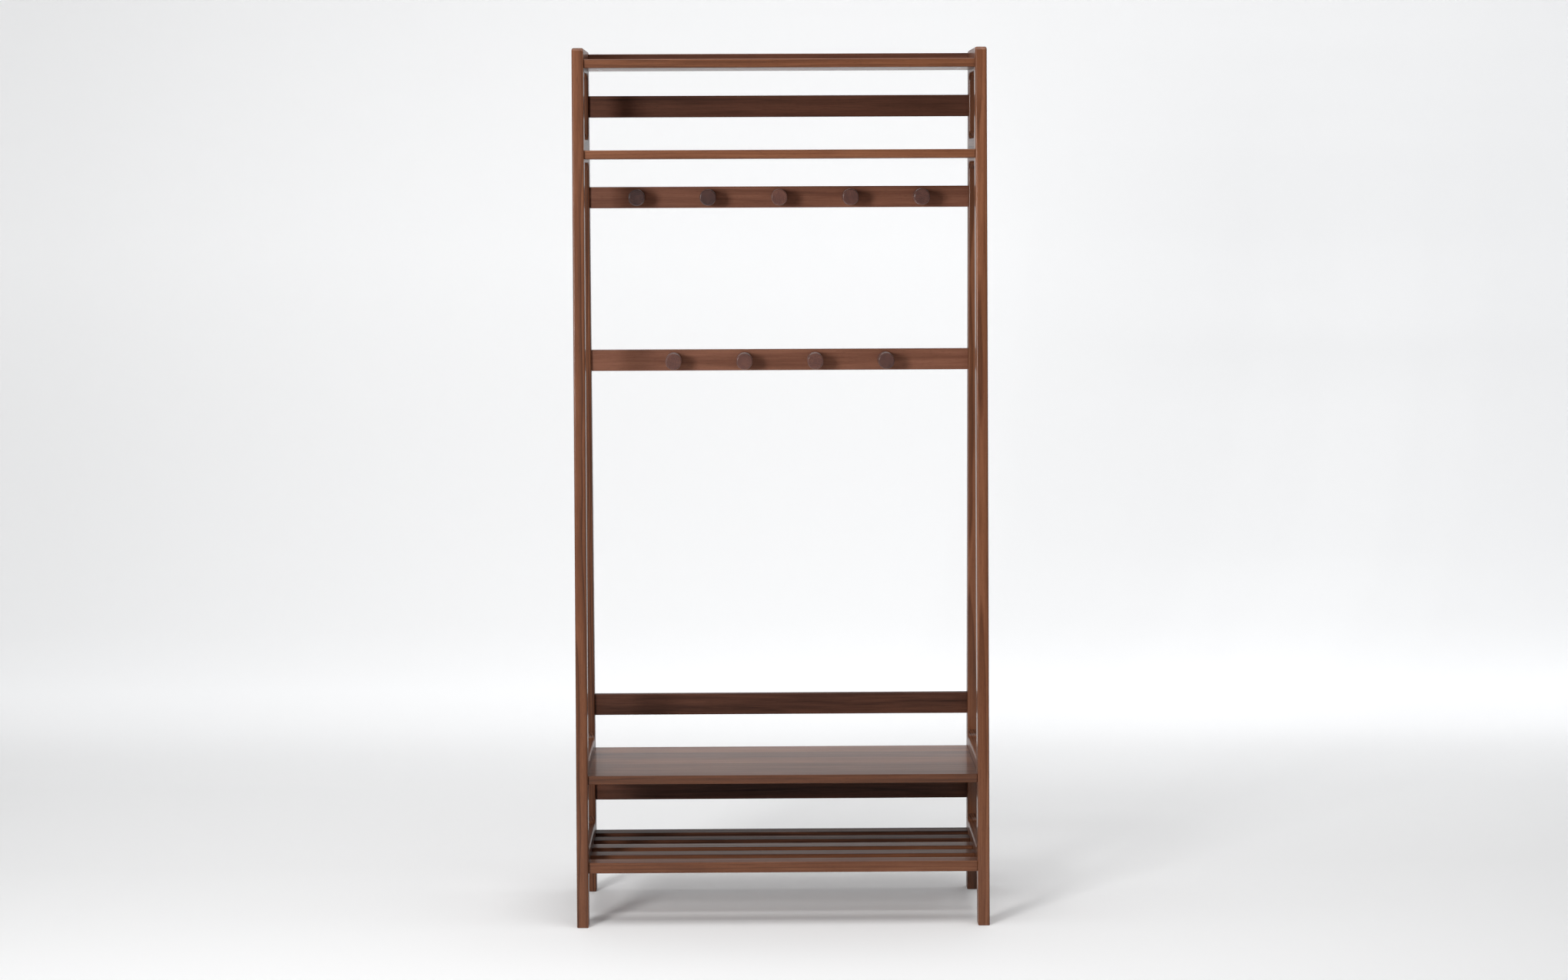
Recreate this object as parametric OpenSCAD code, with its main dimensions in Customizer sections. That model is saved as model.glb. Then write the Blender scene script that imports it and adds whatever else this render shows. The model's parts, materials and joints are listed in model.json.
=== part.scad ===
// Free-standing hall rack in dark-stained solid wood: two leaning side frames, a top
// shelf, a hat shelf, two peg rails, a low bench board and a slatted shoe shelf.
// Frame: X across the rack, the front faces -Y, Z up, origin on the floor at mid-span.

/* [Overall size] */
// Width across the two side frames
rack_w = 850; // [700:1:1100]
// Height of the side frames
rack_h = 1800; // [1500:1:2200]
// Depth over the feet
rack_d = 368; // [300:1:460]
// Depth at the top, where the front legs end
top_d = 228; // [180:1:280]

/* [Side frames] */
// Thickness of legs and crosspieces, across the rack
leg_w = 24; // [20:0.5:30]
// Depth of a leg, square to its length
leg_d = 38; // [32:0.5:46]
// Height of the crosspieces that carry a shelf
cross_h = 48; // [42:1:58]
// Radius of the inside corners between legs and crosspieces
fillet_r = 17; // [8:1:22]
// Radius of the two top corners of a side frame, seen from the side
corner_r = 8; // [3:0.5:12]
// Radius of the long outer edges of the legs
edge_r = 3.5; // [1:0.5:6]

/* [Shelves and bench] */
// Thickness of the three solid boards
board_t = 18; // [15:0.5:22]
// Radius along the long edges of the boards
board_edge_r = 2; // [1:0.5:4]
// Distance of the boards behind the front legs, and before the back of the rear legs
board_setback = 8; // [4:0.5:14]
// Distance of the top shelf's top face below the top of the side frames
top_shelf_inset = 23; // [19:0.5:30]
// Distance from the hat shelf's top face up to the top shelf's top face
hat_space = 185.5; // [160:0.5:260]
// Height of the top face of the bench board
bench_z = 311; // [280:1:340]
// How far a crosspiece reaches below the board that it carries
shelf_drop = 6.5; // [4:0.5:9]
// Height of the lip along the back of the top shelf
lip_h = 17.5; // [10:0.5:20]
// Thickness of that lip
lip_t = 18; // [12:1:24]

/* [Shoe shelf] */
// Height of the top face of the shoe slats
shoe_shelf_z = 131.5; // [110:0.5:180]
// Width of a slat
slat_w = 40; // [34:1:46]
// Thickness of a slat
slat_t = 22; // [18:0.5:26]
// Distance of the first slat behind the front of the front legs
slat_setback = 10; // [6:1:14]
// Distance of the last slat before the back of the rear legs
slat_rear_gap = 14; // [8:1:20]

/* [Rails] */
// Height of a rail
rail_h = 45; // [38:1:56]
// Thickness of a rail
rail_t = 18; // [16:0.5:22]
// Radius along the long edges of the rails
rail_edge_r = 2; // [1:0.5:4]
// Rise from the hat shelf to the middle of the back rail above it
hat_rail_rise = 93; // [75:0.5:110]
// Drop from the hat shelf to the middle of the upper peg rail
upper_peg_drop = 98; // [80:0.5:140]
// Distance between the middles of the two peg rails
peg_rail_space = 345; // [200:1:500]
// Rise from the bench to the middle of the back rail above it
bench_rail_rise = 96; // [80:0.5:140]
// Drop from the bench to the middle of the back rail below it
shoe_rail_drop = 89; // [70:0.5:100]

/* [Pegs] */
// Diameter of a peg
peg_dia = 34; // [26:1:40]
// Length of a peg in front of its rail
peg_len = 60; // [45:1:80]
// Distance between pegs on one rail
peg_pitch = 150; // [120:1:160]
// Radius around the outer end of a peg
peg_edge_r = 2.5; // [1:0.5:5]

/* [Fasteners] */
// Diameter of the connector bolts
bolt_dia = 6; // [5:0.5:6]
// Diameter of a bolt's flat head
bolt_head_dia = 12; // [10:0.5:13]
// Thickness of a bolt's flat head
bolt_head_t = 3; // [2:0.5:4]
// How far a bolt reaches into a board or rail
bolt_reach = 36; // [32:1:44]
// Diameter of the barrel nuts
barrel_dia = 10; // [9:0.5:11]
// Length of the barrel nuts
barrel_len = 14; // [13:0.5:14.5]
// Distance of a barrel nut from the end of its board or rail
barrel_inset = 28; // [24:1:30]
// Diameter of the wooden dowels
dowel_dia = 8; // [6:0.5:9]
// Depth of a dowel in the piece that it enters across its thickness
dowel_short = 16; // [12:1:18]
// Depth of a dowel in the end grain of a board, rail or crosspiece
dowel_long = 22; // [18:1:26]
// Diameter of the slat and peg screws
screw_dia = 4.5; // [4:0.5:5]
// Diameter of a slat or peg screw's head
screw_head_dia = 9; // [8:0.5:10]
// Length of a slat or peg screw
screw_len = 50; // [44:1:55]
// Radial clearance of bolts and screws in the wood that they pass through
bore_gap = 0.2; // [0.1:0.05:0.4]

/* [Hidden] */
$fn = 64;

walnut = [0.44, 0.28, 0.2];
dark_walnut = [0.33, 0.2, 0.15];
walnut_end = [0.36, 0.25, 0.22];
beech = [0.8, 0.66, 0.47];
zinc = [0.62, 0.63, 0.64];

// Side frame geometry
lean = atan((rack_d - top_d) / rack_h);
leg_run = leg_d / cos(lean);
half_w = rack_w / 2;
inner_x = half_w - leg_w;
front_foot_y = -rack_d / 2;
rear_y = rack_d / 2;
rear_leg_face = rear_y - leg_d;
front_leg_back = front_foot_y + leg_run;

// How far a cut starts outside the face that it opens
over = 1;
// Spare length of a front leg at each end, before it is cut level
leg_spare = 5;

// Share of a fillet's tangent length that is kept, so that its tips have some thickness
fillet_keep = 0.94;
// How far a fillet piece reaches into its crosspiece, so that the two are one solid
fillet_root = 1;

// Heights of the upper shelves' top faces and of the middles of the rails
top_shelf_z = rack_h - top_shelf_inset;
hat_shelf_z = top_shelf_z - hat_space;
hat_rail_z = hat_shelf_z + hat_rail_rise;
upper_peg_z = hat_shelf_z - upper_peg_drop;
lower_peg_z = upper_peg_z - peg_rail_space;
bench_rail_z = bench_z + bench_rail_rise;
shoe_rail_z = bench_z - shoe_rail_drop;

// Crosspieces: height of the bottom edge, and height of the piece
top_cross_z = top_shelf_z - board_t - shelf_drop;
top_cross_h = rack_h - top_cross_z;
hat_cross_z = hat_shelf_z - board_t - shelf_drop;
bench_cross_z = bench_z - board_t - shelf_drop;
shoe_cross_z = shoe_shelf_z - slat_t - shelf_drop;

// Frame dowels: two in each end of a crosspiece, this far from its lower and upper edges
frame_dowel_edge = 9.5;

// Boards and rails
top_board_z = top_shelf_z - board_t / 2;
hat_board_z = hat_shelf_z - board_t / 2;
bench_board_z = bench_z - board_t / 2;
slat_z = shoe_shelf_z - slat_t / 2;
rail_y = rear_y - leg_d / 2;
rail_front = rail_y - rail_t / 2;
rail_back = rail_y + rail_t / 2;
rail_dowel_rise = rail_h / 2 - dowel_dia;
rail_levels = [hat_rail_z, upper_peg_z, lower_peg_z, bench_rail_z, shoe_rail_z];
board_levels = [top_board_z, hat_board_z, bench_board_z];

// Fixings along a crosspiece, as shares of the clear span between the two legs
bolt_shares = [0.25, 0.75];
dowel_shares = [0.42, 0.58];

// Slats: the first and the last are screwed through the legs, the others through a crosspiece
slat_count = 5;
slat_first_y = front_foot_y + slat_z * tan(lean) + slat_setback;
slat_pitch = (rear_y - slat_rear_gap - slat_w - slat_first_y) / (slat_count - 1);
screw_head_t = 3;
slat_screw_edge = 14;

// Pegs
upper_peg_x = [-2, -1, 0, 1, 2] * peg_pitch;
lower_peg_x = [-1.5, -0.5, 0.5, 1.5] * peg_pitch;

// Recesses in the heads: depth, width of the arms of a cross, size of the hexagon key
recess_d = 1.8;
cross_arm = 1;
hex_key = 4;

// Front face of the front leg at height z
function front_y(z) = front_foot_y + z * tan(lean);

// Points [y, z] along the crosspiece at height z, given as shares of its clear span
function span_points(z, shares) =
    let (start = front_y(z) + leg_run)
    [for (s = shares) [start + s * (rear_leg_face - start), z]];

board_bolts = [for (z = board_levels) each span_points(z, bolt_shares)];
board_dowels = [for (z = board_levels) each span_points(z, dowel_shares)];
rail_bolts = [for (z = rail_levels) [rail_y, z]];
rail_dowels = [for (z = rail_levels, s = [-1, 1]) [rail_y, z + s * rail_dowel_rise]];

// Slat i runs from 0 at the front to 4 at the back
function slat_y(i) = slat_first_y + i * slat_pitch;
function slat_screw_y(i) =
    i == 0 ? front_y(slat_z) + leg_run / 2 :
    i == slat_count - 1 ? rear_leg_face + slat_screw_edge :
    slat_y(i) + slat_w / 2;
slat_screws = [for (i = [0 : slat_count - 1]) [slat_screw_y(i), slat_z]];

// Heights of the frame dowels of one crosspiece, and of all four
function frame_dowel_z(base, h) = [base + frame_dowel_edge, base + h - frame_dowel_edge];
all_frame_dowels = concat(
    frame_dowel_z(top_cross_z, top_cross_h),
    frame_dowel_z(hat_cross_z, cross_h),
    frame_dowel_z(bench_cross_z, cross_h),
    frame_dowel_z(shoe_cross_z, cross_h)
);

// Points of an outline in anticlockwise order; turn is 1 if they already are, else -1
function anticlockwise(points, turn) =
    turn > 0 ? points : [for (i = [len(points) - 1 : -1 : 0]) points[i]];

// ---- Helpers ----

// Outline drawn in Y and Z, made into a slab that starts at x0 and is w wide
module slab_x(x0, w) {
    translate([x0, 0, 0])
        rotate([90, 0, 90])
            linear_extrude(height = w)
                children();
}

// Rectangle with four rounded corners, from the origin
module soft_rect(w, h, r) {
    translate([r, 0]) square([w - 2 * r, h]);
    translate([0, r]) square([w, h - 2 * r]);
    for (x = [r, w - r], y = [r, h - r])
        translate([x, y]) circle(r = r);
}

// Section of a leg: its two outer corners, at y = 0, are rounded
module leg_section() {
    translate([0, edge_r]) square([leg_w, leg_d - edge_r]);
    translate([edge_r, 0]) square([leg_w - 2 * edge_r, leg_d]);
    for (x = [edge_r, leg_w - edge_r])
        translate([x, edge_r]) circle(r = edge_r);
}

// Piece of waste outside the rounded top corner of a side frame
module top_corner_waste(y, side, angle) {
    reach = 3 * corner_r;
    centre = [y, rack_h - corner_r];
    corners = [
        centre,
        centre + reach * side * [cos(angle), -sin(angle)],
        centre + reach * [side, 1],
        centre + [0, reach]
    ];
    slab_x(-half_w - over, leg_w + 2 * over)
        difference() {
            polygon(anticlockwise(corners, side));
            translate(centre) circle(r = corner_r);
        }
}

// Rounded web between a leg face and a crosspiece edge. The face lies at y0 + slope * z,
// side is 1 behind the front leg and -1 before the rear leg, dir is 1 above the edge
module fillet_web(y0, slope, side, edge_z, dir) {
    run = sqrt(1 + slope * slope);
    centre_z = edge_z + dir * fillet_r;
    centre_y = y0 + slope * centre_z + side * fillet_r * run;
    reach = fillet_keep * abs(centre_y - y0 - slope * edge_z);
    tip_z = edge_z + dir * reach / run;
    root_z = edge_z - dir * fillet_root;
    edge_y = y0 + slope * edge_z + side * reach;
    corners = [
        [y0 + slope * root_z, root_z],
        [y0 + slope * tip_z, tip_z],
        [edge_y, edge_z],
        [edge_y, root_z]
    ];
    difference() {
        polygon(anticlockwise(corners, -side * dir));
        translate([centre_y, centre_z]) circle(r = fillet_r);
    }
}

// Outline of a crosspiece, with fillets below it and, where it has an opening above, over it
module crosspiece_outline(base, h, fillet_above) {
    slope = tan(lean);
    crest = base + h;
    polygon([
        [front_leg_back + slope * base, base],
        [rear_leg_face, base],
        [rear_leg_face, crest],
        [front_leg_back + slope * crest, crest]
    ]);
    fillet_web(front_leg_back, slope, 1, base, -1);
    fillet_web(rear_leg_face, 0, -1, base, -1);
    if (fillet_above) {
        fillet_web(front_leg_back, slope, 1, crest, 1);
        fillet_web(rear_leg_face, 0, -1, crest, 1);
    }
}

// Cylinder along X from the left end x0
module rod_x(x0, y, z, d, len) {
    translate([x0, y, z])
        rotate([0, 90, 0])
            cylinder(d = d, h = len);
}

// Mirrors its children onto the right-hand side as well
module both_sides() {
    children();
    mirror([1, 0, 0]) children();
}

// ---- Holes, drawn for the left-hand side ----

module bolt_holes(points) {
    for (p = points) {
        rod_x(-half_w - over, p[0], p[1], bolt_head_dia + 2 * bore_gap, bolt_head_t + bore_gap + over);
        rod_x(-half_w, p[0], p[1], bolt_dia + 2 * bore_gap, leg_w + bolt_reach + bore_gap);
    }
}

module dowel_holes(points) {
    for (p = points)
        rod_x(-inner_x - dowel_short, p[0], p[1], dowel_dia, dowel_short + dowel_long);
}

module slat_screw_holes() {
    for (p = slat_screws) {
        rod_x(-half_w - over, p[0], p[1], screw_head_dia + 2 * bore_gap, screw_head_t + bore_gap + over);
        rod_x(-half_w, p[0], p[1], screw_dia, screw_len + bore_gap);
    }
}

// Frame dowels lie along Y across the joint between a leg and a crosspiece
module frame_dowel_rods(heights) {
    for (z = heights, joint = [front_y(z) + leg_run, rear_leg_face])
        translate([-half_w + leg_w / 2, joint - dowel_long, z])
            rotate([-90, 0, 0])
                cylinder(d = dowel_dia, h = 2 * dowel_long);
}

module rail_barrel_holes(z) {
    translate([-inner_x + barrel_inset, rail_back - barrel_len, z])
        rotate([-90, 0, 0])
            cylinder(d = barrel_dia, h = barrel_len + over);
}

module board_barrel_holes(points) {
    for (p = points)
        translate([-inner_x + barrel_inset, p[0], p[1] - board_t / 2 - over])
            cylinder(d = barrel_dia, h = barrel_len + over);
}

// ---- Side frames, drawn on the left-hand side ----

module front_leg() {
    run_up = (rack_h + 2 * leg_spare) / cos(lean);
    difference() {
        intersection() {
            translate([-half_w, front_foot_y, 0])
                rotate([-lean, 0, 0])
                    translate([0, 0, -leg_spare])
                        linear_extrude(height = run_up)
                            leg_section();
            translate([-half_w - over, -rack_d, 0])
                cube([leg_w + 2 * over, 2 * rack_d, rack_h]);
        }
        top_corner_waste(front_y(rack_h - corner_r) + corner_r / cos(lean), -1, lean);
        frame_dowel_rods(all_frame_dowels);
        slat_screw_holes();
    }
}

module rear_leg() {
    difference() {
        translate([-half_w, rear_y, 0])
            mirror([0, 1, 0])
                linear_extrude(height = rack_h)
                    leg_section();
        top_corner_waste(rear_y - corner_r, 1, 0);
        frame_dowel_rods(all_frame_dowels);
        bolt_holes(rail_bolts);
        dowel_holes(rail_dowels);
        slat_screw_holes();
    }
}

module crosspiece(base, h, fillet_above = true) {
    difference() {
        slab_x(-half_w, leg_w) crosspiece_outline(base, h, fillet_above);
        frame_dowel_rods(frame_dowel_z(base, h));
        children();
    }
}

module board_crosspiece(base, h, board_z, fillet_above = true) {
    crosspiece(base, h, fillet_above) {
        bolt_holes(span_points(board_z, bolt_shares));
        dowel_holes(span_points(board_z, dowel_shares));
    }
}

module left_front_leg() { color(walnut) front_leg(); }
module right_front_leg() { color(walnut) mirror([1, 0, 0]) front_leg(); }
module left_rear_leg() { color(dark_walnut) rear_leg(); }
module right_rear_leg() { color(dark_walnut) mirror([1, 0, 0]) rear_leg(); }

module top_crosspiece() { board_crosspiece(top_cross_z, top_cross_h, top_board_z, false); }
module hat_crosspiece() { board_crosspiece(hat_cross_z, cross_h, hat_board_z); }
module bench_crosspiece() { board_crosspiece(bench_cross_z, cross_h, bench_board_z); }
module shoe_crosspiece() { crosspiece(shoe_cross_z, cross_h) slat_screw_holes(); }

module left_top_crosspiece() { color(walnut) top_crosspiece(); }
module right_top_crosspiece() { color(walnut) mirror([1, 0, 0]) top_crosspiece(); }
module left_hat_crosspiece() { color(walnut) hat_crosspiece(); }
module right_hat_crosspiece() { color(walnut) mirror([1, 0, 0]) hat_crosspiece(); }
module left_bench_crosspiece() { color(walnut) bench_crosspiece(); }
module right_bench_crosspiece() { color(walnut) mirror([1, 0, 0]) bench_crosspiece(); }
module left_shoe_crosspiece() { color(walnut) shoe_crosspiece(); }
module right_shoe_crosspiece() { color(walnut) mirror([1, 0, 0]) shoe_crosspiece(); }

// ---- Boards ----

// Board between the side frames whose top face is at height crest
module board(crest) {
    z = crest - board_t / 2;
    front = front_y(z) + board_setback;
    difference() {
        slab_x(-inner_x, 2 * inner_x)
            translate([front, crest - board_t])
                soft_rect(rear_y - board_setback - front, board_t, board_edge_r);
        both_sides() {
            bolt_holes(span_points(z, bolt_shares));
            dowel_holes(span_points(z, dowel_shares));
            board_barrel_holes(span_points(z, bolt_shares));
        }
    }
}

module top_shelf() { color(walnut) board(top_shelf_z); }
module hat_shelf() { color(walnut) board(hat_shelf_z); }
module bench_board() { color(walnut) board(bench_z); }

// Lip glued on the back of the top shelf, rounded along its two top edges
module top_shelf_lip() {
    r = board_edge_r;
    back = rear_y - board_setback - r;
    color(dark_walnut)
        slab_x(-inner_x, 2 * inner_x)
            translate([back - lip_t, top_shelf_z]) {
                square([lip_t, lip_h - r]);
                translate([r, 0]) square([lip_t - 2 * r, lip_h]);
                for (y = [r, lip_t - r])
                    translate([y, lip_h - r]) circle(r = r);
            }
}

// ---- Shoe slats, from the front to the back ----

module shoe_slat(i) {
    color(walnut)
        difference() {
            slab_x(-inner_x, 2 * inner_x)
                translate([slat_y(i), shoe_shelf_z - slat_t])
                    soft_rect(slat_w, slat_t, board_edge_r);
            both_sides() slat_screw_holes();
        }
}

module shoe_slat_1() { shoe_slat(0); }
module shoe_slat_2() { shoe_slat(1); }
module shoe_slat_3() { shoe_slat(2); }
module shoe_slat_4() { shoe_slat(3); }
module shoe_slat_5() { shoe_slat(4); }

// ---- Rails between the rear legs ----

module rail(z) {
    difference() {
        slab_x(-inner_x, 2 * inner_x)
            translate([rail_front, z - rail_h / 2])
                soft_rect(rail_t, rail_h, rail_edge_r);
        both_sides() {
            bolt_holes([[rail_y, z]]);
            dowel_holes([for (s = [-1, 1]) [rail_y, z + s * rail_dowel_rise]]);
            rail_barrel_holes(z);
        }
        children();
    }
}

module hat_back_rail() { color(dark_walnut) rail(hat_rail_z); }
module bench_back_rail() { color(dark_walnut) rail(bench_rail_z); }
module shoe_back_rail() { color(dark_walnut) rail(shoe_rail_z); }
module upper_peg_rail() { color(dark_walnut) rail(upper_peg_z) peg_screw_holes(upper_peg_x, upper_peg_z); }
module lower_peg_rail() { color(dark_walnut) rail(lower_peg_z) peg_screw_holes(lower_peg_x, lower_peg_z); }

// ---- Pegs and their screws ----

// Turned peg that stands on the front face of its rail
module peg(x, z) {
    r = peg_edge_r;
    color(walnut_end)
        difference() {
            translate([x, rail_front, z])
                rotate([90, 0, 0])
                    rotate_extrude() {
                        square([peg_dia / 2, peg_len - r]);
                        square([peg_dia / 2 - r, peg_len]);
                        translate([peg_dia / 2 - r, peg_len - r]) circle(r = r);
                    }
            screw_shank(x, z, 0);
        }
}

// Shank of a peg screw, from the back of the rail into the peg
module screw_shank(x, z, gap) {
    translate([x, rail_back, z])
        rotate([90, 0, 0])
            cylinder(d = screw_dia + 2 * gap, h = screw_len);
}

module screw_cone(x, z) {
    translate([x, rail_back, z])
        rotate([90, 0, 0])
            cylinder(d1 = screw_head_dia, d2 = screw_dia, h = screw_head_t);
}

module peg_screw_holes(xs, z) {
    for (x = xs) {
        screw_shank(x, z, bore_gap);
        screw_cone(x, z);
    }
}

module peg_screw(x, z) {
    difference() {
        union() {
            screw_shank(x, z, 0);
            screw_cone(x, z);
        }
        for (turn = [0, 90])
            translate([x, rail_back - recess_d, z])
                rotate([0, turn, 0])
                    translate([-screw_dia / 2, 0, -cross_arm / 2])
                        cube([screw_dia, recess_d + over, cross_arm]);
    }
}

module peg_screws() {
    color(zinc) {
        for (x = upper_peg_x) peg_screw(x, upper_peg_z);
        for (x = lower_peg_x) peg_screw(x, lower_peg_z);
    }
}

module upper_peg_1() { peg(upper_peg_x[0], upper_peg_z); }
module upper_peg_2() { peg(upper_peg_x[1], upper_peg_z); }
module upper_peg_3() { peg(upper_peg_x[2], upper_peg_z); }
module upper_peg_4() { peg(upper_peg_x[3], upper_peg_z); }
module upper_peg_5() { peg(upper_peg_x[4], upper_peg_z); }
module lower_peg_1() { peg(lower_peg_x[0], lower_peg_z); }
module lower_peg_2() { peg(lower_peg_x[1], lower_peg_z); }
module lower_peg_3() { peg(lower_peg_x[2], lower_peg_z); }
module lower_peg_4() { peg(lower_peg_x[3], lower_peg_z); }

// ---- Hardware, drawn on the left-hand side ----

// Flat-headed bolt with a hexagon socket, its head seated at the bottom of its recess
module connector_bolt(y, z) {
    head_x = -half_w + bore_gap;
    difference() {
        union() {
            rod_x(head_x, y, z, bolt_head_dia, bolt_head_t);
            rod_x(head_x, y, z, bolt_dia, leg_w + bolt_reach - bore_gap);
        }
        translate([head_x - over, y, z])
            rotate([0, 90, 0])
                cylinder(r = hex_key / sqrt(3), h = recess_d + over, $fn = 6);
    }
}

module connector_bolts() {
    for (p = concat(rail_bolts, board_bolts)) connector_bolt(p[0], p[1]);
}

// Barrel nuts: from the back in the rails, from below in the boards
module barrel_nuts() {
    x = -inner_x + barrel_inset;
    difference() {
        union() {
            for (p = rail_bolts)
                translate([x, rail_back - barrel_len, p[1]])
                    rotate([-90, 0, 0])
                        cylinder(d = barrel_dia, h = barrel_len);
            for (p = board_bolts)
                translate([x, p[0], p[1] - board_t / 2])
                    cylinder(d = barrel_dia, h = barrel_len);
        }
        for (p = concat(rail_bolts, board_bolts))
            rod_x(-half_w, p[0], p[1], bolt_dia, leg_w + 2 * bolt_reach);
    }
}

module board_dowel_rods() {
    for (p = concat(rail_dowels, board_dowels))
        rod_x(-inner_x - dowel_short, p[0], p[1], dowel_dia, dowel_short + dowel_long);
}

// Pan-headed screw through the frame into each slat's end
module slat_screw_set() {
    head_x = -half_w + bore_gap;
    for (p = slat_screws)
        difference() {
            union() {
                rod_x(head_x, p[0], p[1], screw_head_dia, screw_head_t);
                rod_x(head_x, p[0], p[1], screw_dia, screw_len);
            }
            for (turn = [0, 90])
                translate([head_x, p[0], p[1]])
                    rotate([turn, 0, 0])
                        translate([-over, -screw_dia / 2, -cross_arm / 2])
                            cube([recess_d + over, screw_dia, cross_arm]);
        }
}

module left_connector_bolts() { color(zinc) connector_bolts(); }
module right_connector_bolts() { color(zinc) mirror([1, 0, 0]) connector_bolts(); }
module left_barrel_nuts() { color(zinc) barrel_nuts(); }
module right_barrel_nuts() { color(zinc) mirror([1, 0, 0]) barrel_nuts(); }
module left_board_dowels() { color(beech) board_dowel_rods(); }
module right_board_dowels() { color(beech) mirror([1, 0, 0]) board_dowel_rods(); }
module left_frame_dowels() { color(beech) frame_dowel_rods(all_frame_dowels); }
module right_frame_dowels() { color(beech) mirror([1, 0, 0]) frame_dowel_rods(all_frame_dowels); }
module left_slat_screws() { color(zinc) slat_screw_set(); }
module right_slat_screws() { color(zinc) mirror([1, 0, 0]) slat_screw_set(); }

left_front_leg();
left_rear_leg();
left_top_crosspiece();
left_hat_crosspiece();
left_bench_crosspiece();
left_shoe_crosspiece();
right_front_leg();
right_rear_leg();
right_top_crosspiece();
right_hat_crosspiece();
right_bench_crosspiece();
right_shoe_crosspiece();
top_shelf();
top_shelf_lip();
hat_shelf();
bench_board();
shoe_slat_1();
shoe_slat_2();
shoe_slat_3();
shoe_slat_4();
shoe_slat_5();
hat_back_rail();
upper_peg_rail();
lower_peg_rail();
bench_back_rail();
shoe_back_rail();
upper_peg_1();
upper_peg_2();
upper_peg_3();
upper_peg_4();
upper_peg_5();
lower_peg_1();
lower_peg_2();
lower_peg_3();
lower_peg_4();
left_connector_bolts();
right_connector_bolts();
left_barrel_nuts();
right_barrel_nuts();
left_board_dowels();
right_board_dowels();
left_frame_dowels();
right_frame_dowels();
left_slat_screws();
right_slat_screws();
peg_screws();
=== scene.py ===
# %% [markdown]
# # A hall rack in stained walnut
# The rack is two side frames with leaning front legs, and boards, slats and rails between them. The packed
# model gives every place and the main sizes. It is loaded first and never moved. Each wooden piece but the
# dowels is then made again as a joiner would make it, with its roundovers, bores and grain, and stands in
# for the plain packed one. So are the bolts and screws.

# %% Load the fixed frame
import json
import math

import bpy
from mathutils import Matrix, Vector

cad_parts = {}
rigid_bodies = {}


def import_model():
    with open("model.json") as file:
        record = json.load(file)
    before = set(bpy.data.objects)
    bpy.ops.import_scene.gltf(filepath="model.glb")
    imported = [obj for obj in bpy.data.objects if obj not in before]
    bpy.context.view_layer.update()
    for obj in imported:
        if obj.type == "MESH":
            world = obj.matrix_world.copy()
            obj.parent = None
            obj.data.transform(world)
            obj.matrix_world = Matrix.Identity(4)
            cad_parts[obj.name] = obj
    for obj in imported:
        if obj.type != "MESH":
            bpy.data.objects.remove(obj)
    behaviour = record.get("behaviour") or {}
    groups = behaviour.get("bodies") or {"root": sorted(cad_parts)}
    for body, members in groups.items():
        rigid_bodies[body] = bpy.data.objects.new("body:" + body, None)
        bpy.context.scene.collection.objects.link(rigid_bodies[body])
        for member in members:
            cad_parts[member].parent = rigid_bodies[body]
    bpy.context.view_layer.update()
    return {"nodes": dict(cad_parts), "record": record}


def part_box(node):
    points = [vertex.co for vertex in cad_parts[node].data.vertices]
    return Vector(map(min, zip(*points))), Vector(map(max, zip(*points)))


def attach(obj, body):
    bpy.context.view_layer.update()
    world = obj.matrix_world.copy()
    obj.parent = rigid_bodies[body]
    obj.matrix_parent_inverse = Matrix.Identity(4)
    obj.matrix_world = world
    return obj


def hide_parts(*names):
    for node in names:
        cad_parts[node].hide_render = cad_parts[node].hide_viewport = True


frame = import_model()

# %% [markdown]
# # Helpers for work at the bench
# Blender's operators act on whatever is selected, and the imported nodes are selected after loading. So each
# helper first selects one object alone, then picks its edges, corners or faces by their place.

# %% Select one object, and parts of it
def only(obj):
    """Makes obj the only selected and the active object."""
    if bpy.context.object and bpy.context.object.mode != "OBJECT":
        bpy.ops.object.mode_set(mode="OBJECT")
    bpy.ops.object.select_all(action="DESELECT")
    obj.select_set(True)
    bpy.context.view_layer.objects.active = obj


def pick(obj, kind, test):
    """Goes to edit mode with those VERT, EDGE or FACE elements selected that pass test(place, direction)."""
    only(obj)
    bpy.ops.object.mode_set(mode="EDIT")
    bpy.ops.mesh.select_mode(type=kind)
    bpy.ops.mesh.select_all(action="DESELECT")
    bpy.ops.object.mode_set(mode="OBJECT")
    mesh = obj.data
    if kind == "VERT":
        for vert in mesh.vertices:
            vert.select = test(vert.co, None)
    if kind == "EDGE":
        for edge in mesh.edges:
            start, end = (mesh.vertices[i].co for i in edge.vertices)
            edge.select = test((start + end) / 2, (end - start).normalized())
    if kind == "FACE":
        for face in mesh.polygons:
            face.select = test(face.center, face.normal)
    bpy.ops.object.mode_set(mode="EDIT")


def done():
    """Goes back to object mode."""
    bpy.ops.object.mode_set(mode="OBJECT")


# %% Blocks, roundovers, saw cuts and bores
X, Y, Z = Vector((1, 0, 0)), Vector((0, 1, 0)), Vector((0, 0, 1))
TINY = 1e-5


def along(direction, axis):
    """Whether an edge runs along an axis."""
    return abs(direction.dot(axis)) > 0.999


def block(name, low, high):
    """A squared block of wood between two corners."""
    bpy.ops.object.select_all(action="DESELECT")
    bpy.ops.mesh.primitive_cube_add(size=1, location=(Vector(low) + Vector(high)) / 2)
    obj = bpy.context.object
    obj.name = obj.data.name = name
    obj.scale = Vector(high) - Vector(low)
    bpy.ops.object.transform_apply(location=True, rotation=True, scale=True)
    return obj


def shift(obj, test, step):
    """Moves the corners of obj that pass the test."""
    pick(obj, "VERT", test)
    bpy.ops.transform.translate(value=step)
    done()


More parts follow.
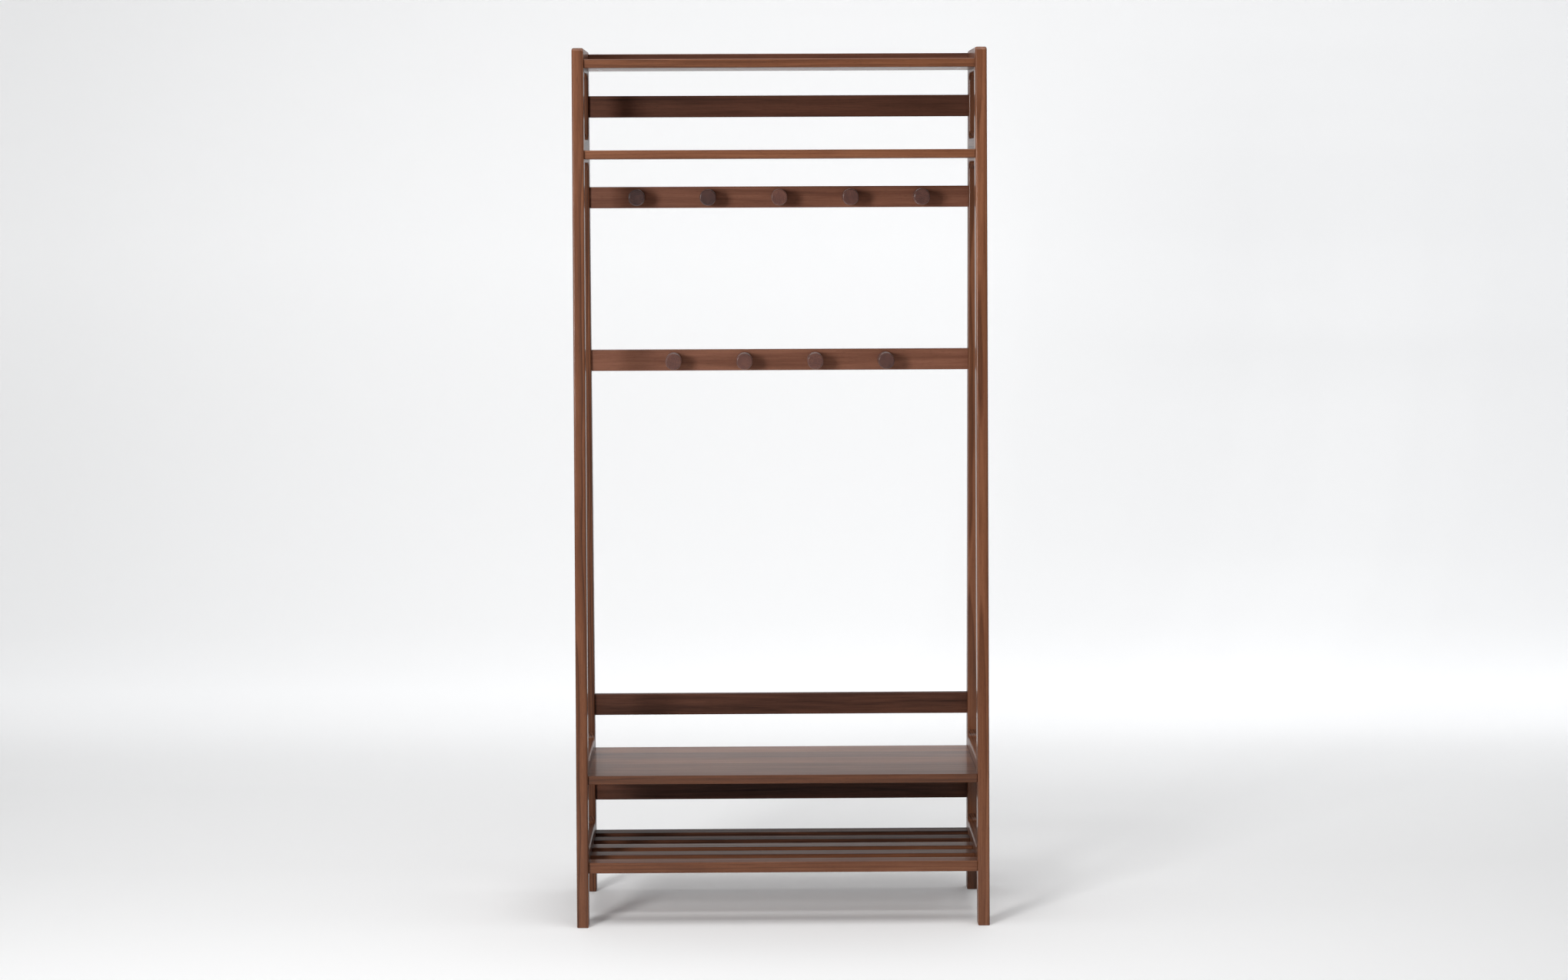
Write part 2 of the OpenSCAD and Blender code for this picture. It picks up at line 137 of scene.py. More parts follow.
def round_over(obj, test, radius, steps):
    """Rounds the edges of obj that pass the test."""
    pick(obj, "EDGE", test)
    bpy.ops.mesh.bevel(offset=radius, segments=steps, profile=0.5, affect="EDGES", clamp_overlap=False)
    done()


def saw(obj, point, normal):
    """Saws obj at a plane and keeps what lies behind it, away from where the normal points."""
    pick(obj, "VERT", lambda place, _: True)
    bpy.ops.mesh.bisect(
        plane_co=point, plane_no=normal, use_fill=True, clear_outer=True, threshold=1e-6
    )
    done()


def twin(obj, name):
    """A copy of obj with a mesh of its own."""
    only(obj)
    bpy.ops.object.duplicate()
    copy = bpy.context.object
    copy.name = copy.data.name = name
    return copy


def join(pieces, name):
    """Makes one object of several."""
    only(pieces[0])
    for piece in pieces:
        piece.select_set(True)
    if len(pieces) > 1:
        bpy.ops.object.join()
    obj = bpy.context.object
    obj.name = obj.data.name = name
    return obj


def subtract(obj, cutters):
    """Cuts the cutters' shape out of obj and throws the cutters away."""
    cutter = join(cutters, "cutter")
    only(obj)
    cut = obj.modifiers.new("cut", "BOOLEAN")
    cut.operation = "DIFFERENCE"
    cut.solver = "EXACT"
    cut.object = cutter
    bpy.ops.object.modifier_apply(modifier=cut.name)
    bpy.data.objects.remove(cutter)


def rod(name, start, end, radius, sides=32):
    """A round rod from start to end, which lie on a line along X, Y or Z."""
    start, end = Vector(start), Vector(end)
    turn = (end - start).to_track_quat("Z", "Y").to_euler()
    bpy.ops.object.select_all(action="DESELECT")
    bpy.ops.mesh.primitive_cylinder_add(
        vertices=sides, radius=radius, depth=(end - start).length, location=(start + end) / 2, rotation=turn
    )
    obj = bpy.context.object
    obj.name = obj.data.name = name
    bpy.ops.object.transform_apply(location=True, rotation=True, scale=True)
    return obj


# %% [markdown]
# # Where the fasteners sit
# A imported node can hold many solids, such as all the bolts of one side. A copy of it is merged and split
# into loose parts, and their boxes say where each fastener sits, so that the bores meet them.

# %% Boxes of the fasteners
def box_of(obj):
    """The lowest and highest corner of an object's box."""
    places = [vert.co for vert in obj.data.vertices]
    low = Vector(min(place[i] for place in places) for i in range(3))
    high = Vector(max(place[i] for place in places) for i in range(3))
    return low, high


def boxes_in(node):
    """The (lowest corner, highest corner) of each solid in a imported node."""
    copy = twin(frame["nodes"][node], "loose_parts")
    bpy.ops.object.mode_set(mode="EDIT")
    bpy.ops.mesh.select_all(action="SELECT")
    bpy.ops.mesh.remove_doubles(threshold=TINY)
    bpy.ops.mesh.separate(type="LOOSE")
    done()
    parts = [obj for obj in bpy.context.scene.objects if obj.name.startswith(copy.name)]
    boxes = sorted((box_of(part) for part in parts), key=lambda box: tuple(box[0] + box[1]))
    for part in parts:
        bpy.data.objects.remove(part)
    return boxes


bolts = boxes_in("left_connector_bolts")
slat_screws = boxes_in("left_slat_screws")
barrel_nuts = boxes_in("left_barrel_nuts")
peg_screws = boxes_in("peg_screws")
print(len(bolts), "bolts,", len(slat_screws), "slat screws,", len(barrel_nuts), "nuts on the left;",
      len(peg_screws), "peg screws")

# %% [markdown]
# # The side frame
# A side frame is glued up from two legs and four crosspieces and then shaped as one: its openings get round
# inside corners, and a roundover bit runs along every edge without a stop. So the frame is modelled in
# that order. A blank is cut to the lean of the front leg, windows are cut out of it, all edges are
# rounded, and only then is it sawn into its legs and crosspieces.

# %% Sizes of the side frame
ROUNDOVER = 0.0035
FILLET = 0.017
TOP_CORNER = 0.008
FOOT_EDGE = 0.0012
CROSS_H = 0.048
SHELF_DROP = 0.0065
SPARE = 0.02

front_low, front_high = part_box("left_front_leg")
rear_low, rear_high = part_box("left_rear_leg")
rack_h = rear_high.z
leg_depth = rear_high.y - rear_low.y
slope = 0
for _ in range(8):
    leg_run = leg_depth * math.sqrt(1 + slope * slope)
    slope = (front_high.y - front_low.y - leg_run) / rack_h
print(f"the front leg leans {slope * rack_h * 1000:.0f} mm over {rack_h:.2f} m")


def front_face(z):
    """Where the front of the front leg is at a height."""
    return front_low.y + slope * z


def front_back(z):
    """Where the back of the front leg is at a height."""
    return front_face(z) + leg_run


def crosspiece_span(carried):
    """Lower and upper edge of the crosspiece that carries a board or slat."""
    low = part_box(carried)[0].z - SHELF_DROP
    return low, low + CROSS_H


shoe_span = crosspiece_span("shoe_slat_1")
bench_span = crosspiece_span("bench_board")
hat_span = crosspiece_span("hat_shelf")
top_edge = crosspiece_span("top_shelf")[0]

# %% The blank, with its lean and its two top corners
blank = block("side_frame", (front_low.x, front_low.y, -SPARE), (front_high.x, rear_high.y, rack_h))
at_front = rear_low.y - TINY
shift(blank, lambda p, _: p.y < at_front and p.z > 0, (0, slope * rack_h, 0))
shift(blank, lambda p, _: p.y < at_front and p.z < 0, (0, -slope * SPARE, 0))
round_over(blank, lambda p, d: along(d, X) and p.z > rack_h / 2, TOP_CORNER, 6)
print("blank", len(blank.data.vertices), "corners")


# %% Windows with round corners, cut out of the blank
def window(bottom, top):
    """A plug that fills the opening between two heights."""
    low = (front_low.x - SPARE, front_low.y, bottom)
    high = (front_high.x + SPARE, rear_low.y, top)
    plug = block("window", low, high)
    at_plug_front = (front_low.y + rear_low.y) / 2
    middle = (bottom + top) / 2
    shift(plug, lambda p, _: p.y < at_plug_front and p.z < middle, (0, front_back(bottom) - front_low.y, 0))
    shift(plug, lambda p, _: p.y < at_plug_front and p.z > middle, (0, front_back(top) - front_low.y, 0))
    round_over(plug, lambda p, d: along(d, X) and p.z > 0, FILLET, 8)
    return plug


windows = [
    window(-2 * SPARE, shoe_span[0]),
    window(shoe_span[1], bench_span[0]),
    window(bench_span[1], hat_span[0]),
    window(hat_span[1], top_edge),
]
subtract(blank, windows)
print("frame with windows", len(blank.data.polygons), "faces")

# %% One roundover along every edge, then the feet are cut level
only(blank)
bit = blank.modifiers.new("roundover", "BEVEL")
bit.width = ROUNDOVER
bit.segments = 4
bit.limit_method = "ANGLE"
bit.angle_limit = math.radians(40)
bit.use_clamp_overlap = False
bpy.ops.object.modifier_apply(modifier=bit.name)
saw(blank, (0, 0, 0), -Z)
pick(blank, "FACE", lambda p, n: n.z < -0.9 and p.z < TINY)
bpy.ops.mesh.region_to_loop()
bpy.ops.mesh.bevel(offset=FOOT_EDGE, segments=2, affect="EDGES")
done()
print("rounded frame", len(blank.data.polygons), "faces")

# %% Sawn into legs and crosspieces
HAIR = 0.0001
lean_normal = Vector((0, 1, -slope)).normalized()
front_joint = (0, front_back(0) + HAIR, 0)
rear_joint = (0, rear_low.y - HAIR, 0)

front_leg = twin(blank, "front_leg")
saw(front_leg, front_joint, lean_normal)
rear_leg = twin(blank, "rear_leg")
saw(rear_leg, rear_joint, -Y)
middle = twin(blank, "crosspieces")
saw(middle, front_joint, -lean_normal)
saw(middle, rear_joint, Y)
only(middle)
bpy.ops.object.mode_set(mode="EDIT")
bpy.ops.mesh.separate(type="LOOSE")
done()
crosspieces = sorted(
    (obj for obj in bpy.context.scene.objects if obj.name.startswith("crosspieces")),
    key=lambda obj: box_of(obj)[0].z,
)
bpy.data.objects.remove(blank)
print("legs and", len(crosspieces), "crosspieces")

# %% [markdown]
# # Bores for the hardware
# Every bolt head sits in a recess, with a little air around it. The bores come after the roundovers, as
# on a real drilling jig, so their rims stay crisp. Each piece only gets the bores that lie within it.

# %% Recesses in the outer faces
AIR = 0.0002
HEAD_T = 0.003

left_wood = [front_leg, rear_leg] + crosspieces


def recesses():
    """Rods that bore the recesses of all bolt and screw heads of the left side."""
    rods = []
    for low, high in bolts + slat_screws:
        centre = (low + high) / 2
        radius = (high.z - low.z) / 2 + AIR
        outside = Vector((front_low.x - HEAD_T, centre.y, centre.z))
        bottom = Vector((front_low.x + HEAD_T + AIR, centre.y, centre.z))
        rods.append(rod("bore", outside, bottom, radius))
    return rods


def bore(piece, rods):
    """Bores the rods that touch a piece's box, and throws all of them away."""
    low, high = box_of(piece)
    near, far = [], []
    for cutter in rods:
        a, b = box_of(cutter)
        meets = all(a[i] < high[i] and b[i] > low[i] for i in range(3))
        (near if meets else far).append(cutter)
    for cutter in far:
        bpy.data.objects.remove(cutter)
    if near:
        subtract(piece, near)


for piece in left_wood:
    bore(piece, recesses())
print("left side frame bored,", sum(len(piece.data.polygons) for piece in left_wood), "faces")


# %% The right side frame is the mirror image
def mirrored(obj, name):
    """A copy of obj on the other side of the rack, with its faces turned outwards again."""
    copy = twin(obj, name)
    copy.scale.x = -1
    bpy.ops.object.transform_apply(location=False, rotation=False, scale=True)
    pick(copy, "FACE", lambda place, normal: True)
    bpy.ops.mesh.normals_make_consistent(inside=False)
    done()
    return copy


SIDE_PIECES = [
    "front_leg", "rear_leg", "shoe_crosspiece", "bench_crosspiece", "hat_crosspiece", "top_crosspiece"
]
wood = {}
for obj, name in zip(left_wood, SIDE_PIECES):
    wood["right_" + name] = mirrored(obj, "right_" + name + "_wood")
    obj.name = obj.data.name = "left_" + name + "_wood"
    wood["left_" + name] = obj
print(sorted(wood))

# %% [markdown]
# # Boards, slats and rails
# These are planed lengths of wood between the side frames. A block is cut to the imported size, its long
# edges are eased with a small roundover, and the barrel nuts get their bores: from below in the boards,
# from the back in the rails.

# %% Planed pieces with eased edges
EASE = 0.002
BOARDS = ["top_shelf", "hat_shelf", "bench_board"]
SLATS = [f"shoe_slat_{i}" for i in range(1, 6)]
RAILS = ["hat_back_rail", "upper_peg_rail", "lower_peg_rail", "bench_back_rail", "shoe_back_rail"]


def planed(node, corners):
    """A plank with eased long edges, and with corners also eased where it butts against the front legs."""
    low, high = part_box(node)
    obj = block(node + "_wood", low, high)
    round_over(obj, lambda p, d: along(d, X) or corners and along(d, Z) and p.y < low.y + TINY, EASE, 3)
    return obj


for node in BOARDS + SLATS:
    wood[node] = planed(node, corners=True)
for node in RAILS:
    wood[node] = planed(node, corners=False)
low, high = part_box("top_shelf_lip")
wood["top_shelf_lip"] = block("top_shelf_lip_wood", low, high)
round_over(wood["top_shelf_lip"], lambda p, d: along(d, X) and p.z > high.z - TINY, EASE, 3)
print(len(BOARDS + SLATS + RAILS) + 1, "planed pieces")


# %% Bores for the barrel nuts and the peg screws
def nut_bores():
    """Rods a little wider than the barrel nuts, on both sides, that start outside the wood."""
    rods = []
    for low, high in barrel_nuts:
        centre = (low + high) / 2
        lies_along_y = high.y - low.y > high.z - low.z
        radius = (high.x - low.x) / 2 + AIR / 2
        for side in (1, -1):
            x = centre.x * side
            if lies_along_y:
                rods.append(rod("bore", (x, high.y + HEAD_T, centre.z), (x, low.y, centre.z), radius))
            else:
                rods.append(rod("bore", (x, centre.y, low.z - HEAD_T), (x, centre.y, high.z), radius))
    return rods


def countersinks():
    """Cones in the back of the peg rails for the screws' flat heads."""
    cones = []
    for low, high in peg_screws:
        centre = (low + high) / 2
        radius = (high.z - low.z) / 2 + AIR
        bpy.ops.object.select_all(action="DESELECT")
        bpy.ops.mesh.primitive_cone_add(
            vertices=32, radius1=radius, radius2=radius / 2, depth=HEAD_T,
            location=(centre.x, high.y - HEAD_T / 2 + TINY, centre.z), rotation=(math.pi / 2, 0, 0),
        )
        cone = bpy.context.object
        bpy.ops.object.transform_apply(location=True, rotation=True, scale=True)
        cones.append(cone)
    return cones


for node in BOARDS + RAILS:
    bore(wood[node], nut_bores())
for node in ("upper_peg_rail", "lower_peg_rail"):
    bore(wood[node], countersinks())
print("boards and rails bored")

# %% [markdown]
# # Pegs
# A peg is turned from dowel and glued and screwed onto its rail. Its outer end is flat, with a small
# roundover that catches the light. One is made and copied along both rails.

# %% One peg, copied to nine places
PEGS = [f"upper_peg_{i}" for i in range(1, 6)] + [f"lower_peg_{i}" for i in range(1, 5)]
PEG_ROUND = 0.0025
low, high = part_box(PEGS[0])
middle = (low + high) / 2
peg_radius = (high.z - low.z) / 2
pattern_peg = rod("peg", (middle.x, high.y, middle.z), (middle.x, low.y, middle.z), peg_radius, 64)
round_over(pattern_peg, lambda p, d: p.y < low.y + TINY, PEG_ROUND, 5)
for node in PEGS:
    peg_low, peg_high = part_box(node)
    peg = twin(pattern_peg, node + "_wood")
    peg.location = (peg_low + peg_high) / 2 - middle
    bpy.ops.object.transform_apply(location=True, rotation=False, scale=False)
    wood[node] = peg
bpy.data.objects.remove(pattern_peg)
print(len(PEGS), "pegs")

# %% [markdown]
# # Bolts and screws
# The heads can be seen on the outer sides and at the back. A head is a turned disc with an eased rim. Its
# inner face is inset to the shank's width and drawn out, and the driver's socket is cut out of the
# front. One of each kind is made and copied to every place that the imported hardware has.

# %% A bolt and two kinds of screw
BOLT_R = 0.003
SCREW_R = 0.00225
SOCKET_DEPTH = 0.0018
KEY = 0.004
CROSS_ARM = 0.001
BOLT_EASE = 0.0006
SCREW_EASE = 0.0014


def headed(name, box, shank_radius, ease):
    """A fastener along X in its box: a round head at the low end, and a shank drawn out of it."""
    low, high = box
    centre = (low + high) / 2
    radius = (high.z - low.z) / 2
    obj = rod(name, (low.x, centre.y, centre.z), (low.x + HEAD_T, centre.y, centre.z), radius, 48)
    round_over(obj, lambda p, d: p.x < low.x + TINY, ease, 4)
    pick(obj, "FACE", lambda p, n: n.x > 0.99)
    bpy.ops.mesh.inset(thickness=radius - shank_radius)
    bpy.ops.mesh.extrude_region_move(
        TRANSFORM_OT_translate={"value": (high.x - low.x - HEAD_T, 0, 0)}
    )
    done()
    return obj


def cross_recess(x, centre):
    """Two crossed blades that cut the slot for a driver."""
    arm = SCREW_R
    half = CROSS_ARM / 2
    low, high = Vector((x - HEAD_T, centre.y, centre.z)), Vector((x + SOCKET_DEPTH, centre.y, centre.z))
    upright = block("blade", low - Vector((0, half, arm)), high + Vector((0, half, arm)))
    level = block("blade", low - Vector((0, arm, half)), high + Vector((0, arm, half)))
    return [upright, level]


pattern_bolt = headed("bolt", bolts[0], BOLT_R, BOLT_EASE)
centre = (bolts[0][0] + bolts[0][1]) / 2
x = bolts[0][0].x
socket = rod("socket", (x - HEAD_T, centre.y, centre.z), (x + SOCKET_DEPTH, centre.y, centre.z),
             KEY / math.sqrt(3), 6)
subtract(pattern_bolt, [socket])

pattern_screw = headed("slat_screw", slat_screws[0], SCREW_R, SCREW_EASE)
centre = (slat_screws[0][0] + slat_screws[0][1]) / 2
for blade in cross_recess(slat_screws[0][0].x, centre):
    subtract(pattern_screw, [blade])
print("bolt", len(pattern_bolt.data.polygons), "faces, screw", len(pattern_screw.data.polygons), "faces")

# %% [markdown]
# The screws of the pegs have flat heads. Their countersunk cone starts at the rail's back face, so this
# one is a cone with the shank drawn out of its narrow end.

# %% The countersunk screw, and all copies
low, high = peg_screws[0]
centre = (low + high) / 2
bpy.ops.object.select_all(action="DESELECT")
bpy.ops.mesh.primitive_cone_add(
    vertices=48, radius1=(high.z - low.z) / 2, radius2=SCREW_R, depth=HEAD_T,
    location=(centre.x, high.y - HEAD_T / 2, centre.z), rotation=(math.pi / 2, 0, 0),
)
pattern_peg_screw = bpy.context.object
bpy.ops.object.transform_apply(location=True, rotation=True, scale=True)
pick(pattern_peg_screw, "FACE", lambda p, n: n.y < -0.99)
bpy.ops.mesh.extrude_region_move(TRANSFORM_OT_translate={"value": (0, low.y - high.y + HEAD_T, 0)})
done()
half, arm = CROSS_ARM / 2, SCREW_R
inner, outer = high.y - SOCKET_DEPTH, high.y + HEAD_T
blades = [
    block("blade", (centre.x - half, inner, centre.z - arm), (centre.x + half, outer, centre.z + arm)),
    block("blade", (centre.x - arm, inner, centre.z - half), (centre.x + arm, outer, centre.z + half)),
]
for blade in blades:
    subtract(pattern_peg_screw, [blade])


def copies(pattern, boxes, name):
    """Copies a fastener to every box in a list, as one piece. The first box is the pattern's own."""
    first = (boxes[0][0] + boxes[0][1]) / 2
    made = []
    for low, high in boxes:
        copy = twin(pattern, "copy")
        copy.location = (low + high) / 2 - first
        bpy.ops.object.transform_apply(location=True, rotation=False, scale=False)
        made.append(copy)
    return join(made, name)


metal = {
    "left_connector_bolts": copies(pattern_bolt, bolts, "left_connector_bolts_steel"),
    "left_slat_screws": copies(pattern_screw, slat_screws, "left_slat_screws_steel"),
    "peg_screws": copies(pattern_peg_screw, peg_screws, "peg_screws_steel"),
}
metal["right_connector_bolts"] = mirrored(metal["left_connector_bolts"], "right_connector_bolts_steel")
metal["right_slat_screws"] = mirrored(metal["left_slat_screws"], "right_slat_screws_steel")
for pattern in (pattern_bolt, pattern_screw, pattern_peg_screw):
    bpy.data.objects.remove(pattern)
print({node: len(obj.data.polygons) for node, obj in metal.items()})

# %% [markdown]
# # Grain that belongs to each piece
# Grain is a pattern inside the wood, so it needs coordinates that follow each piece: the first one runs
# along the grain, the other two across it, measured from the middle of the tree that the piece was sawn
# from. A piece far from the middle shows straight lines, and one close to it shows arches. These places
# are stored on the mesh as an attribute, with the end-grain faces and the piece's tone, which for some
# pieces also holds painted shade.

# %% Where each piece was in the tree
# Each piece starts at another place along a trunk, a golden section further than the one before.
TRUNK = 3
GOLDEN = 0.618034


def grain_places(obj, along_grain, across, heart, number, tone):
    """Stores grain, end and tone on a wooden piece; for some pieces the tone is also painted shade. heart is
    how far off the tree's middle was.
    """
    low, high = box_of(obj)
    centre = (low + high) / 2
    length, width = Vector(along_grain).normalized(), Vector(across).normalized()
    depth = length.cross(width)
    start = TRUNK * math.modf(number * GOLDEN)[0]
    mesh = obj.data
    grain = mesh.attributes.new("grain", "FLOAT_VECTOR", "POINT")
    for vert, value in zip(mesh.vertices, grain.data):
        p = vert.co - centre
        value.vector = (start + p.dot(length), heart[0] + p.dot(width), heart[1] + p.dot(depth))
    end = mesh.attributes.new("end", "FLOAT", "FACE")
    for face, value in zip(mesh.polygons, end.data):
        value.value = 1 if abs(face.normal.dot(length)) > 0.7 else 0
    tone_and_shade = mesh.attributes.new("tone", "FLOAT", "POINT")
    for value in tone_and_shade.data:
        value.value = tone


def smooth(obj):
    """Soft shading on roundovers, flat shading on flat faces."""
    only(obj)
    bpy.ops.object.shade_smooth_by_angle(angle=math.radians(32))
    even = obj.modifiers.new("even", "WEIGHTED_NORMAL")
    even.weight = 100
    even.keep_sharp = True
    bpy.ops.object.modifier_apply(modifier=even.name)


lean = Vector((0, slope, 1))
# The way of the grain, the way across it, how far off the tree's middle was, and the tone from 0 to 1. Some
# tones also hold painted shade.
GRAIN = {
    "left_front_leg": (lean, X, (0.03, 0.11), 0.5),
    "right_front_leg": (lean + 0.09 * X, X, (0.006, 0.045), 0.6),
    "left_rear_leg": (Z, X, (0.05, 0.09), 0.38),
    "right_rear_leg": (Z, X, (0.02, 0.1), 0.54),
    "top_shelf": (X, Y, (0.02, 0.08), 0.66),
    # The low tones of the lip and of the hat, bench and shoe back rails are painted shade: these pieces
    # stand in shadow.
    "top_shelf_lip": (X, Z, (0.03, 0.08), 0.26),
    "hat_shelf": (X, Y, (0.05, 0.09), 0.78),
    "bench_board": (X, Y, (0.03, 0.09), 0.48),
    "hat_back_rail": (X, Z, (0.01, 0.07), 0.26),
    "upper_peg_rail": (X, Z, (0.03, 0.08), 0.56),
    "lower_peg_rail": (X, Z, (0.0, 0.05), 0.58),
    "bench_back_rail": (X, Z, (0.02, 0.07), 0.17),
    "shoe_back_rail": (X, Z, (0.02, 0.08), 0.15),
}
CROSS_GRAIN = (Y, Z, (0.02, 0.09), 0.45)
# The low tones of the last two slats are painted shade: the bench above shadows them.
SLAT_TONES_AND_SHADE = dict(zip(SLATS, (0.47, 0.38, 0.4, 0.14, 0.08)))
PEG_TONES = dict(zip(PEGS, (0.34, 0.4, 0.78, 0.64, 0.58, 0.7, 0.66, 0.62, 0.5)))
for number, (node, obj) in enumerate(sorted(wood.items())):
    if node in PEGS:
        turn = number * math.tau * GOLDEN
        heart = (0.012 + 0.004 * (number % 4), 0.03)
        setting = (Y, (math.cos(turn), 0, math.sin(turn)), heart, PEG_TONES[node])
    elif node.endswith("crosspiece"):
        setting = CROSS_GRAIN
    elif node in SLATS:
        setting = (X, Y, (0.03, 0.08), SLAT_TONES_AND_SHADE[node])
    else:
        setting = GRAIN[node]
    axis, across, heart, tone = setting
    grain_places(obj, axis, across, heart, number, tone)
    smooth(obj)
for obj in metal.values():
    smooth(obj)
print(len(wood), "wooden pieces have grain")

# %% [markdown]
# # The wood pattern
# Stained walnut has three things to see: growth rings that are darker at their outer edge, fine fibres
# along the grain, and open pores, which are short dark dashes. All wooden finishes share them, so they
# are one node group. It gives a figure from dark to light, a mask of pores, and a height.

# %% Helpers that place and wire nodes
def add(tree, kind, inputs=None, **settings):
    """Adds a node. Its inputs are values or the sockets that feed them."""
    node = tree.nodes.new(kind)
    for key, value in settings.items():
        setattr(node, key, value)
    for key, value in (inputs or {}).items():
        if isinstance(value, bpy.types.NodeSocket):
            tree.links.new(value, node.inputs[key])
        else:
            node.inputs[key].default_value = value
    return node


def calc(tree, kind, *values):
    """The result of a Math node of that kind on the given values or sockets."""
    return add(tree, "ShaderNodeMath", dict(enumerate(values)), operation=kind).outputs[0]


def vector_calc(tree, kind, first, second):
    """The vector that a Vector Math node of that kind makes of two vectors."""
    return add(tree, "ShaderNodeVectorMath", {0: first, 1: second}, operation=kind).outputs[0]


def remap(tree, value, before, after, **settings):
    """A value moved from one (low, high) range to another."""
    node = add(tree, "ShaderNodeMapRange", {
        "Value": value, "From Min": before[0], "From Max": before[1], "To Min": after[0], "To Max": after[1],
    }, **settings)
    return node.outputs[0]


def ramp(tree, value, stops):
    """A colour ramp through (place, colour) stops, the first at 0 and the last at 1."""
    node = add(tree, "ShaderNodeValToRGB", {"Fac": value})
    elements = node.color_ramp.elements
    elements[0].color = (*stops[0][1], 1)
    elements[1].color = (*stops[-1][1], 1)
    for place, colour in stops[1:-1]:
        elements.new(place).color = (*colour, 1)
    return node.outputs[0]


def stretched_noise(tree, places, scale, detail, roughness=0.55):
    """Noise drawn out along the grain: scale is how often it changes in a metre, along and across."""
    mapped = add(tree, "ShaderNodeMapping", {"Vector": places, "Scale": scale})
    return add(tree, "ShaderNodeTexNoise", {
        "Vector": mapped.outputs[0], "Scale": 1.0, "Detail": detail, "Roughness": roughness,
    })


def line_noise(tree, value, scale, detail):
    """Noise along a line, at a value on it."""
    inputs = {"W": value, "Scale": scale, "Detail": detail}
    return add(tree, "ShaderNodeTexNoise", inputs, noise_dimensions="1D").outputs[0]


def new_group(name, inputs, outputs):
    """A node group, with the sockets that it is given and those that it fills."""
    group = bpy.data.node_groups.new(name, "ShaderNodeTree")
    for label, kind in inputs:
        group.interface.new_socket(label, in_out="INPUT", socket_type=kind)
    for label, kind in outputs:
        group.interface.new_socket(label, in_out="OUTPUT", socket_type=kind)
    return group, group.nodes.new("NodeGroupInput").outputs, group.nodes.new("NodeGroupOutput").inputs


def new_material(name):
    """A material with its node tree."""
    material = bpy.data.materials.new(name)
    material.use_nodes = True
    return material, material.node_tree


# %% The growth rings
WANDER = 0.016
SEASON_PACE, SEASON_SHIFT = 0.23, 2.2
LATE_SHARPNESS, EARLY_SHARPNESS = 3.0, 9.0


def growth_rings(tree, places, ring_width, ring_depth):
    """How dark the ring is at a place. Rings run round the middle of the tree, which is the length axis."""
    # They wander a little along the length, as the tree didn't grow straight.
    drift = stretched_noise(tree, places, (1.6, 5, 5), 2)
    centred = vector_calc(tree, "SUBTRACT", drift.outputs["Color"], (0.5, 0.5, 0.5))
    bent = vector_calc(tree, "ADD", places, vector_calc(tree, "MULTIPLY", centred, (WANDER, WANDER, WANDER)))
    parts = add(tree, "ShaderNodeSeparateXYZ", {0: bent})
    square_y = calc(tree, "MULTIPLY", parts.outputs["Y"], parts.outputs["Y"])
    square_z = calc(tree, "MULTIPLY", parts.outputs["Z"], parts.outputs["Z"])
    years = calc(tree, "DIVIDE", calc(tree, "SQRT", calc(tree, "ADD", square_y, square_z)), ring_width)
    # Wide and narrow years: a slow noise over the radius moves the rings closer or further apart.
    pace = calc(tree, "MULTIPLY", years, SEASON_PACE)
    seasons = line_noise(tree, pace, 1.0, 2.0)
    age = calc(tree, "ADD", years, calc(tree, "MULTIPLY", seasons, SEASON_SHIFT))
    # A year darkens slowly towards its end, and that dark fades quickly as the next one starts.
    season = calc(tree, "FRACT", age)
    late = calc(tree, "POWER", season, LATE_SHARPNESS)
    fading = calc(tree, "MINIMUM", calc(tree, "MULTIPLY", season, EARLY_SHARPNESS), 1.0)
    ring = calc(tree, "MAXIMUM", late, calc(tree, "SUBTRACT", 1.0, fading))
    strength = line_noise(tree, calc(tree, "FLOOR", age), 7.3, 0.0)
    return calc(tree, "MULTIPLY", ring, calc(tree, "MULTIPLY", strength, ring_depth))


# %% The group itself
FIBRE_SHARE, BROAD_SHARE, STREAK_SHARE = 0.4, 0.48, 0.26
PORE_START, PORE_FULL = 0.60, 0.70
FIBRE_RELIEF = 0.35

walnut, given, out = new_group(
    "walnut figure",
    [("Grain", "NodeSocketVector"), ("Ring width", "NodeSocketFloat"), ("Ring depth", "NodeSocketFloat")],
    [("Figure", "NodeSocketFloat"), ("Pores", "NodeSocketFloat"), ("Height", "NodeSocketFloat")],
)
ring = growth_rings(walnut, given["Grain"], given["Ring width"], given["Ring depth"])
fibres = stretched_noise(walnut, given["Grain"], (12, 330, 330), 4, 0.6).outputs[0]
broad = stretched_noise(walnut, given["Grain"], (2.6, 30, 30), 3).outputs[0]
streaks = stretched_noise(walnut, given["Grain"], (3.5, 110, 110), 3).outputs[0]
figure = calc(walnut, "MULTIPLY", fibres, FIBRE_SHARE)
figure = calc(walnut, "ADD", figure, calc(walnut, "MULTIPLY", broad, BROAD_SHARE))
figure = calc(walnut, "ADD", figure, calc(walnut, "MULTIPLY", streaks, STREAK_SHARE))
figure = calc(walnut, "SUBTRACT", figure, ring)
dashes = stretched_noise(walnut, given["Grain"], (70, 1900, 1900), 2).outputs[0]
pores = remap(walnut, dashes, (PORE_START, PORE_FULL), (0, 1))
height = calc(walnut, "SUBTRACT", calc(walnut, "MULTIPLY", fibres, FIBRE_RELIEF), pores)
walnut.links.new(figure, out["Figure"])
walnut.links.new(pores, out["Pores"])
walnut.links.new(height, out["Height"])
print("walnut figure:", len(walnut.nodes), "nodes")
